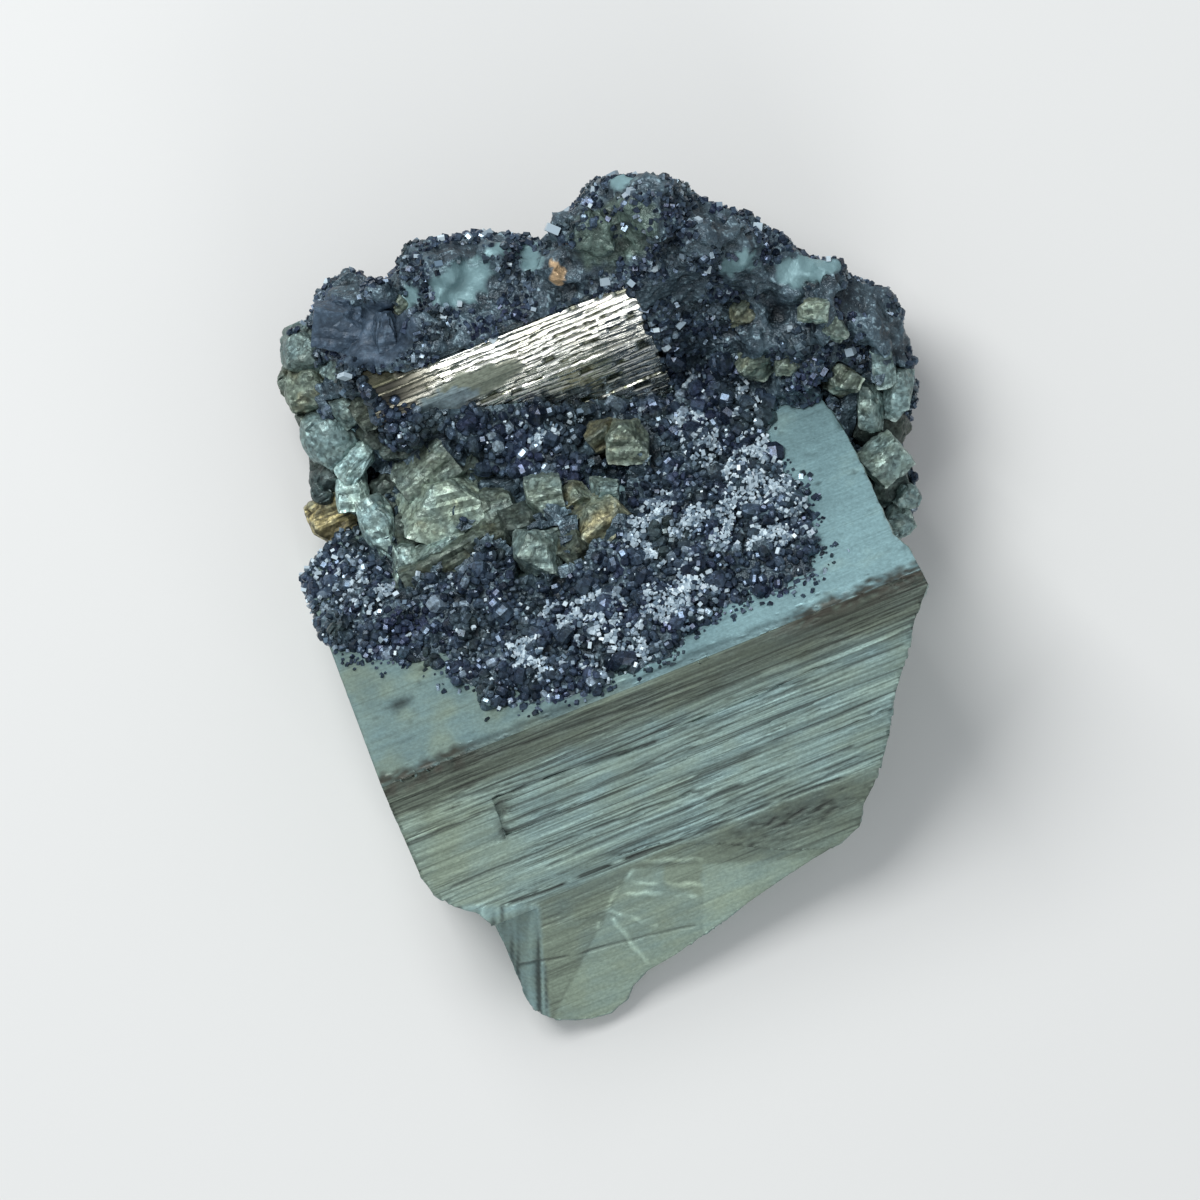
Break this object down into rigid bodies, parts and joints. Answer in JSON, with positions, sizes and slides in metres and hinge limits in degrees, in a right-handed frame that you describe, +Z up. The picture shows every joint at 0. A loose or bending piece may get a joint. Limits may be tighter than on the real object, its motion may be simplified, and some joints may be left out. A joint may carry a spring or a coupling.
{
  "type": "pyrite crystal specimen",
  "caption": "Natural mineral specimen: a large striated metallic crystal and a smaller bright one on dark matrix, with a sparkling crust of small crystals between them.",
  "frame": {"origin": "middle of the bounding box, on the surface that the specimen lies on", "axes": "+Z up, away from the flat base; +Y from the big crystal's tip to the matrix, along the specimen's length; +X to the right"},
  "size_m": [0.067, 0.0854, 0.0341],
  "materials": {
    "striated_pyrite": "satin",
    "bright_pyrite": "gloss",
    "dull_pyrite": "satin",
    "dark_matrix": "matte",
    "dark_crystals": "gloss"
  },
  "bodies": {
    "root": {"main_cube": "striated_pyrite", "second_cube": "bright_pyrite", "centre_cluster": "dull_pyrite", "left_rim_crystals": "dull_pyrite", "right_rim_crystals": "dull_pyrite", "matrix": "dark_matrix", "druse": "dark_crystals"}
  },
  "joints": []
}
